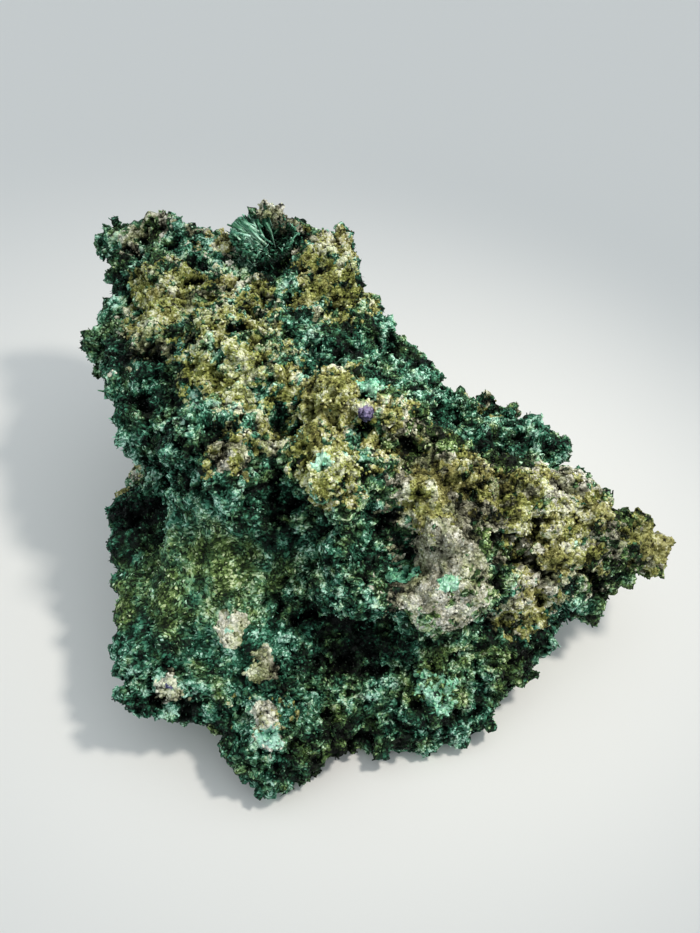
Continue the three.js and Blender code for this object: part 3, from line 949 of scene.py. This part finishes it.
def prism_shape(taper: float, uneven: float, seed: int) -> Shape:
    """Models a three-sided crystal or crumb, one unit across and one unit long.

    Args:
        taper: the end's width as a share of the root's.
        uneven: how far its corners are moved at random.
        seed: a number that tells one shape from another.

    Returns:
        The shape.
    """
    deselect()
    bpy.ops.mesh.primitive_cylinder_add(vertices=3, radius=0.55, depth=1, location=(0, 0, 0.5))
    piece = bpy.context.object
    bpy.ops.object.transform_apply(location=True)
    for vertex in piece.data.vertices:
        vertex.select = vertex.co.z > 0.5
    for edge in piece.data.edges:
        edge.select = all(piece.data.vertices[v].select for v in edge.vertices)
    for face in piece.data.polygons:
        face.select = all(piece.data.vertices[v].select for v in face.vertices)
    bpy.ops.object.mode_set(mode="EDIT")
    bpy.ops.transform.resize(value=(taper, taper, 1), center_override=(0, 0, 1))
    bpy.ops.mesh.select_all(action="SELECT")
    bpy.ops.transform.vertex_random(offset=uneven, seed=seed)
    bpy.ops.object.mode_set(mode="OBJECT")
    return taken(piece)


def crumb_shape(seed: int) -> Shape:
    """Models an uneven crumb, one unit across and one unit long."""
    deselect()
    bpy.ops.mesh.primitive_ico_sphere_add(subdivisions=1, radius=0.5, location=(0, 0, 0.5))
    piece = bpy.context.object
    bpy.ops.object.transform_apply(location=True)
    bpy.ops.object.mode_set(mode="EDIT")
    bpy.ops.transform.vertex_random(offset=0.25, seed=seed)
    bpy.ops.object.mode_set(mode="OBJECT")
    return taken(piece)


@dataclass
class Sites:
    """Where grains stand on the crust, in millimetres, with the surface's direction and crease depth."""

    points: np.ndarray
    outward: np.ndarray
    crease: np.ndarray

    def where(self, chosen: np.ndarray) -> "Sites":
        """Keeps the chosen places."""
        return Sites(self.points[chosen], self.outward[chosen], self.crease[chosen])


def scatter(crust: bpy.types.Object, count: int, rng: np.random.Generator) -> Sites:
    """Spreads places evenly over the crust, with fewer underneath and none on the face that it rests on.

    Args:
        crust: the finished crust.
        count: how many places are tried.
        rng: the source of random numbers.

    Returns:
        The places.
    """
    mesh = crust.data
    mesh.calc_loop_triangles()
    corners = np.empty(len(mesh.loop_triangles) * 3, np.int32)
    mesh.loop_triangles.foreach_get("vertices", corners)
    corners = corners.reshape(-1, 3)
    places = vertex_array(mesh) / MM
    normals = vertex_array(mesh, "normal")
    creases = np.empty(len(mesh.vertices), np.float32)
    mesh.attributes["crease"].data.foreach_get("value", creases)
    a, b, c = (places[corners[:, i]] for i in range(3))
    crossed = np.cross(b - a, c - a)
    area = np.linalg.norm(crossed, axis=1) / 2
    facing = crossed[:, 2] / np.maximum(2 * area, 1e-9)
    height = (a[:, 2] + b[:, 2] + c[:, 2]) / 3
    underneath = facing < -0.35
    resting = height < 0.4
    weight = area * np.where(underneath, 0.55, 1.0) * np.where(resting, 0.0, 1.0)
    total = np.cumsum(weight)
    picks = np.searchsorted(total, (np.arange(count) + rng.random(count)) / count * total[-1])
    picks = np.minimum(picks, len(corners) - 1)
    u, v = rng.random(count), rng.random(count)
    flip = u + v > 1
    u, v = np.where(flip, 1 - u, u), np.where(flip, 1 - v, v)
    shares = np.stack([1 - u - v, u, v], axis=1)
    points = sum(shares[:, [i]] * places[corners[picks, i]] for i in range(3))
    outward = sum(shares[:, [i]] * normals[corners[picks, i]] for i in range(3))
    crease = sum(shares[:, i] * creases[corners[picks, i]] for i in range(3))
    return Sites(points, unit(outward), crease)


def unit(rows: np.ndarray) -> np.ndarray:
    """Scales each row to a length of 1."""
    return rows / np.maximum(np.linalg.norm(rows, axis=1, keepdims=True), 1e-9)


@dataclass(frozen=True)
class Look:
    """How light each grain is and how stained, both from 0 to 1."""

    tone: np.ndarray
    hue: np.ndarray

    def where(self, chosen: np.ndarray) -> "Look":
        """Keeps the chosen grains."""
        return Look(self.tone[chosen], self.hue[chosen])


@dataclass
class Grains:
    """Grains of one mineral, all in one mesh. Lengths and widths are in millimetres, each from least to most.

    sheaf is how far the grains of one cluster lie over to the cluster's own side, reach the distance
    between the clusters' middles, and root_shade how much lighter a grain's tip is than its root, as painted
    shade towards the root.
    """

    name: str
    shapes: tuple[Shape, ...]
    finish: GrainFinish
    length: tuple[float, float]
    width: tuple[float, float]
    flatness: tuple[float, float]
    sink: float = 0.25
    lean: float = 0.4
    sheaf: float = 0.0
    reach: float = 3.0
    root_shade: float = 0.0

    def build(self, sites: Sites, look: Look, rng: np.random.Generator) -> bpy.types.Object:
        """Stands a grain on every place.

        Args:
            sites: where the grains stand.
            look: how light and how stained each grain is.
            rng: the source of random numbers.

        Returns:
            The piece.
        """
        count = len(sites.points)
        way, home = clusters(sites.points, self.reach, 60)
        towards = unit(np.stack([lattice(home, 70 + axis) for axis in range(3)], axis=1) - 0.5)
        leaning = self.lean * rng.normal(size=(count, 3))
        axis = unit(sites.outward + self.sheaf * (towards + 0.6 * way) + leaning)
        side = unit(np.cross(axis, rng.normal(size=(count, 3))))
        other = np.cross(axis, side)
        length = rng.uniform(*self.length, count) * (0.75 + 0.7 * rng.random(count) ** 3)
        width = rng.uniform(*self.width, count)
        depth = width * rng.uniform(*self.flatness, count)
        root = sites.points - axis * (self.sink * length)[:, None]
        kinds = rng.integers(len(self.shapes), size=count)
        rows, faces, order, share, start = [], [], [], [], 0
        for kind, shape in enumerate(self.shapes):
            chosen = np.flatnonzero(kinds == kind)
            p = shape.points[None]
            placed = (
                root[chosen, None]
                + p[..., [0]] * (side * width[:, None])[chosen, None]
                + p[..., [1]] * (other * depth[:, None])[chosen, None]
                + p[..., [2]] * (axis * length[:, None])[chosen, None]
            )
            rows.append(placed.reshape(-1, 3))
            offsets = start + np.arange(len(chosen)) * len(shape.points)
            faces.append((shape.triangles[None] + offsets[:, None, None]).reshape(-1, 3))
            order.append(np.repeat(chosen, len(shape.points)))
            share.append(np.tile(shape.points[:, 2], len(chosen)))
            start += len(chosen) * len(shape.points)
        points = np.concatenate(rows)
        points[:, 2] = np.maximum(points[:, 2], 0)
        shown = look.where(np.concatenate(order))
        # Painted shade: each grain is darker towards its root, deep in the druse, and lighter at its tip.
        shown = Look(np.clip(shown.tone + self.root_shade * (np.concatenate(share) - 0.6), 0, 1), shown.hue)
        return joined(self.name, points, np.concatenate(faces), shown, self.finish.material())


def joined(
    name: str, points: np.ndarray, triangles: np.ndarray, look: Look, material: bpy.types.Material
) -> bpy.types.Object:
    """Writes arrays as one mesh piece.

    Args:
        name: the piece's name.
        points: the vertices, in millimetres.
        triangles: the vertices' numbers, three for each face.
        look: how light and how stained each vertex is.
        material: the piece's material.

    Returns:
        The piece.
    """
    mesh = bpy.data.meshes.new(name)
    mesh.vertices.add(len(points))
    mesh.vertices.foreach_set("co", (points * MM).astype(np.float32).ravel())
    mesh.loops.add(triangles.size)
    mesh.loops.foreach_set("vertex_index", triangles.astype(np.int32).ravel())
    mesh.polygons.add(len(triangles))
    mesh.polygons.foreach_set("loop_start", np.arange(0, triangles.size, 3, dtype=np.int32))
    mesh.update(calc_edges=True)
    mesh.validate()
    write_attribute(mesh, "tone", look.tone)
    write_attribute(mesh, "hue", look.hue)
    mesh.materials.append(material)
    piece = bpy.data.objects.new(name, mesh)
    bpy.context.scene.collection.objects.link(piece)
    return piece


# ----------------------------------------------------------------------------------------------------
# Studio
# ----------------------------------------------------------------------------------------------------


@dataclass
class Studio:
    """The pale floor, the soft light and the camera."""

    aim: Triple = (-2.3, 7.2, 18.0)
    distance: float = 178.0
    pitch: float = 45.0
    lens: float = 38.6
    floor_size: float = 2000.0
    floor_colour: str = "#e6e6e3"
    sky_colour: str = "#e8eff4"
    sky_strength: float = 0.86
    key_at: Triple = (141.0, -42.0, 278.0)
    key_size: float = 36.0
    key_spread: float = 42
    key_power: float = 0.045
    key_colour: str = "#fff8ee"

    def build(self) -> None:
        """Makes all of it."""
        self.add_floor()
        self.add_light()
        self.add_camera()

    def add_floor(self) -> None:
        """Makes the floor that the specimen rests on."""
        deselect()
        bpy.ops.mesh.primitive_plane_add(size=self.floor_size * MM, location=(0, 0, -0.02 * MM))
        floor = bpy.context.object
        floor.name = "floor"
        paper = bpy.data.materials.new("matte_paper")
        paper.use_nodes = True
        shader = paper.node_tree.nodes["Principled BSDF"]
        shader.inputs["Base Color"].default_value = linear(self.floor_colour)
        shader.inputs["Roughness"].default_value = 0.95
        floor.data.materials.append(paper)

    def add_light(self) -> None:
        """Makes the soft key light and the light from all round."""
        world = bpy.data.worlds.new("soft_room")
        world.use_nodes = True
        background = world.node_tree.nodes["Background"]
        background.inputs["Color"].default_value = linear(self.sky_colour)
        background.inputs["Strength"].default_value = self.sky_strength
        bpy.context.scene.world = world
        light = bpy.data.lights.new("key", "AREA")
        light.size = self.key_size * MM
        light.spread = math.radians(self.key_spread)
        light.energy = self.key_power
        light.color = linear(self.key_colour)[:3]
        key = bpy.data.objects.new("key", light)
        key.location = Vector(self.key_at) * MM
        key.rotation_euler = (Vector(self.aim) * MM - key.location).to_track_quat("-Z", "Y").to_euler()
        bpy.context.scene.collection.objects.link(key)

    def add_camera(self) -> None:
        """Makes the camera, which looks down on the specimen from the front."""
        lens = bpy.data.cameras.new("camera")
        lens.lens = self.lens
        lens.sensor_width = 36.0
        lens.clip_start = 0.01
        camera = bpy.data.objects.new("camera", lens)
        pitch = math.radians(self.pitch)
        back = Vector((0, -math.cos(pitch), math.sin(pitch)))
        camera.location = (Vector(self.aim) + back * self.distance) * MM
        camera.rotation_euler = (-back).to_track_quat("-Z", "Y").to_euler()
        bpy.context.scene.collection.objects.link(camera)
        bpy.context.scene.camera = camera


# ----------------------------------------------------------------------------------------------------
# The specimen
# ----------------------------------------------------------------------------------------------------


@dataclass
class Druse:
    """The crystals and granules all over the crust."""

    count: int = 30000

    def build(self, crust: bpy.types.Object, minerals: MineralMap) -> list[tuple[bpy.types.Object, str]]:
        """Grows all the grains.

        Args:
            crust: the finished crust.
            minerals: which mineral lies where.

        Returns:
            The pieces, each with the record's slot that its finish belongs to.
        """
        rng = np.random.default_rng(SEED)
        sites = scatter(crust, self.count, rng)
        kind = minerals.choose(sites.points, rng.random(self.count))
        look = self.look(sites, kind, minerals, rng)
        crystals = (prism_shape(0.7, 0.15, 1), prism_shape(0.9, 0.2, 2), blade_shape())
        crumbs = tuple(crumb_shape(seed) for seed in (3, 4, 5))
        green = kind == Mineral.BROCHANTITE.value
        bladed = layered(sites.points, FIBROUS, 110) - 0.5 * minerals.cover(OLIVE, sites.points)
        fibrous = bladed > 0.15 + 0.1 * rng.normal(size=self.count)
        pieces = []
        short = {"length": (0.25, 0.55), "width": (0.25, 0.5), "flatness": (0.5, 1.0)}
        long = {"length": (0.5, 1.0), "width": (0.2, 0.42), "flatness": (0.3, 0.7)}
        for name, shapes, chosen, sizes in (
            ("druse_1", crystals, green & ~fibrous, short | {"lean": 0.8, "root_shade": 0.2}),
            (
                "sheaves_1", (blade_shape(), crystals[0]), green & fibrous,
                long | {"lean": 0.3, "sheaf": 1.3, "root_shade": 0.3},
            ),
        ):
            members = np.flatnonzero(chosen)
            members = members[np.argsort(sites.points[members, 0])]
            grains = Grains(name, shapes, BROCHANTITE, **sizes)
            pieces.append((grains.build(sites.where(members), look.where(members), rng), "brochantite"))
        coarse = minerals.cover(CRUMBLY, sites.points) > 0.5
        for name, chosen, finish, slot, size in (
            ("ochre_granules", kind == Mineral.OCHRE.value, OCHRE, "matrix_crust", (0.3, 0.65)),
            ("grey_granules", (kind == Mineral.GREY.value) & ~coarse, GREY, "matrix_crust", (0.3, 0.6)),
            ("vein_crumbs", (kind == Mineral.GREY.value) & coarse, GREY, "matrix_crust", (0.4, 0.95)),
            ("mint_crust", kind == Mineral.MINT.value, MINT, "brochantite", (0.3, 0.8)),
            ("azurite_specks", kind == Mineral.AZURITE.value, AZURITE, "brochantite", (0.3, 0.6)),
        ):
            members = np.flatnonzero(chosen)
            grains = Grains(
                name, crumbs, finish, length=size, width=size, flatness=(0.5, 1.0), sink=0.35, lean=0.8
            )
            pieces.append((grains.build(sites.where(members), look.where(members), rng), slot))
        return pieces

    def look(self, sites: Sites, kind: np.ndarray, minerals: MineralMap, rng: np.random.Generator) -> Look:
        """Gives each grain its lightness and its stain.

        Args:
            sites: where the grains stand.
            kind: each grain's mineral.
            minerals: which mineral lies where.
            rng: the source of random numbers.

        Returns:
            The grains' look.
        """
        count = len(sites.points)
        # The tone carries painted light and shade from the patches and painted shade in creases.
        tone = minerals.tone(sites.points, sites.crease) + 0.13 * rng.normal(size=count)
        # Painted glints: a few grains are made much lighter.
        tone += 0.3 * (rng.random(count) < 0.04)
        tone += np.where(kind == Mineral.BROCHANTITE.value, -0.08, 0.0)
        green = kind == Mineral.BROCHANTITE.value
        hue = np.where(green, minerals.olive(sites.points), minerals.dusty(sites.points))
        hue = np.where(kind == Mineral.OCHRE.value, minerals.sandy(sites.points), hue)
        hue += 0.15 * rng.normal(size=count)
        return Look(np.clip(tone, 0, 1), np.clip(hue, 0, 1))


@dataclass(frozen=True)
class Fan:
    """Blades that stand side by side on the hollow's wall.

    root and towards are directions, from the hollow's middle to the wall and along the blades. wide is
    how far the roots spread and splay how far the blades part, both as shares of a length of 1.
    Lengths are in millimetres.
    """

    root: Triple
    towards: Triple
    count: int
    length: tuple[float, float]
    width: tuple[float, float]
    tone: float
    wide: float = 0.3
    splay: float = 0.15


@dataclass
class Vug:
    """The blades in the hollow near the crown: a short lining, fans of long blades and a rim of tufts.

    lining and rim are counts of blades. wall and fan_wall are where they stand, lining_top how far up the
    lining reaches and root_top how far up the fans' roots do, all as shares of the hollow's radius.
    """

    lining: int = 700
    rim: int = 150
    # The lining deep in the hollow gets a dark tone: painted shade.
    lining_shade: float = 0.3
    rim_tone: float = 0.6
    wall: float = 0.98
    fan_wall: float = 0.97
    lining_top: float = -0.45
    root_top: float = 0.15
    fans: tuple[Fan, ...] = (
        Fan((-0.88, 0.55, 0.05), (0.66, -0.62, -0.34), 60, (3.0, 6.5), (0.5, 1.0), 0.90, 0.28, 0.11),
        Fan((-0.50, 0.88, 0.00), (0.34, -0.76, -0.55), 36, (3.0, 5.5), (0.5, 1.0), 0.80, 0.28, 0.14),
        Fan((-1.00, 0.10, -0.05), (0.80, -0.50, -0.10), 28, (2.0, 3.8), (0.45, 0.9), 0.75, 0.30, 0.2),
        Fan((-0.55, -0.05, -0.55), (0.50, -0.66, 0.30), 30, (2.0, 4.0), (0.4, 0.75), 0.98, 0.25, 0.22),
        Fan((-0.50, -0.80, 0.05), (0.20, -0.55, 0.60), 26, (1.5, 3.0), (0.4, 0.7), 0.70, 0.30, 0.35),
        # The fan low on the right side gets a dark tone: painted shade on the hollow's dark side.
        Fan((0.75, 0.40, -0.40), (-0.25, -0.80, 0.10), 24, (1.2, 2.4), (0.4, 0.8), 0.30, 0.30, 0.3),
    )

    def build(self, rng: np.random.Generator) -> bpy.types.Object:
        """Grows the blades from the hollow's wall.

        Args:
            rng: the source of random numbers.

        Returns:
            The piece.
        """
        low, high = (np.array(corner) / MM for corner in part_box("vug_crystals"))
        middle = (low + high) / 2
        middle[2] = high[2]
        radius = (high[0] - low[0]) / 2
        around = rng.normal(size=(self.lining, 3))
        around[:, 2] = -np.abs(around[:, 2])
        around = unit(around)
        around = around[around[:, 2] < self.lining_top]
        short = Grains(
            "vug_lining", (prism_shape(0.6, 0.1, 7),), BROCHANTITE, (0.5, 1.3), (0.3, 0.6), (0.4, 0.8),
            lean=0.7, root_shade=0.3,
        )
        sites = Sites(middle + self.wall * radius * around, -around, np.zeros(len(around)))
        pieces = [short.build(sites, self.look(len(around), self.lining_shade, rng), rng)]
        lath = prism_shape(0.5, 0.06, 8)
        turn = rng.uniform(0, 2 * math.pi, self.rim)
        edge = np.stack((np.cos(turn), np.sin(turn), rng.uniform(-0.25, 0.1, self.rim)), axis=1)
        outward = unit(0.5 * edge + (0, 0, 0.6) + 0.45 * rng.normal(size=edge.shape))
        tufts = Grains(
            "vug_rim", (lath, blade_shape()), BROCHANTITE, (0.8, 1.9), (0.35, 0.7), (0.2, 0.5),
            sink=0.3, lean=0.3, root_shade=0.3,
        )
        sites = Sites(middle + self.wall * radius * edge, outward, np.zeros(self.rim))
        pieces.append(tufts.build(sites, self.look(self.rim, self.rim_tone, rng), rng))
        for number, fan in enumerate(self.fans):
            root = unit(np.array(fan.root) + fan.wide * rng.normal(size=(fan.count, 3)))
            root[:, 2] = np.minimum(root[:, 2], self.root_top)
            towards = unit(np.tile(fan.towards, (fan.count, 1)) + fan.splay * rng.normal(size=(fan.count, 3)))
            blades = Grains(
                f"vug_fan_{number}", (lath, blade_shape()), BROCHANTITE, fan.length, fan.width, (0.15, 0.35),
                sink=0.1, lean=0.03, root_shade=0.3,
            )
            sites = Sites(middle + self.fan_wall * radius * root, towards, np.zeros(fan.count))
            pieces.append(blades.build(sites, self.look(fan.count, fan.tone, rng), rng))
        make_active(pieces[0])
        for piece in pieces[1:]:
            piece.select_set(True)
        bpy.ops.object.join()
        pieces[0].name = "vug_blades"
        return pieces[0]

    @staticmethod
    def look(count: int, tone: float, rng: np.random.Generator) -> Look:
        """Gives blades their lightness, about one tone with a few light ones, and a clean green."""
        tones = tone + 0.12 * rng.normal(size=count) + 0.3 * (rng.random(count) < 0.1)
        return Look(np.clip(tones, 0, 1), np.clip(0.05 + 0.1 * rng.normal(size=count), 0, 1))


def report(piece: bpy.types.Object) -> None:
    """Logs a piece's name and its count of triangles."""
    piece.data.calc_loop_triangles()
    log.info("%s: %d triangles", piece.name, len(piece.data.loop_triangles))


def main() -> None:
    """Builds the specimen, sets it in the studio and reports every piece."""
    logging.basicConfig(level=logging.INFO, format="%(name)s: %(message)s")
    bpy.context.scene.view_settings.view_transform = "Standard"
    low, high = (np.array(corner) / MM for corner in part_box("matrix"))
    minerals = MineralMap(low, high, vertex_array(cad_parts["matrix"].data) / MM)
    crust = Crust().build(minerals)
    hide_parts("matrix")
    vug = Vug().build(np.random.default_rng(SEED + 1))
    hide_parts("vug_crystals")
    pieces = [(crust, "matrix_crust"), *Druse().build(crust, minerals), (vug, "brochantite")]
    for piece, slot in pieces:
        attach(piece, BODY)
        report(piece)
    Studio().build()


if __name__ == "__main__":
    main()
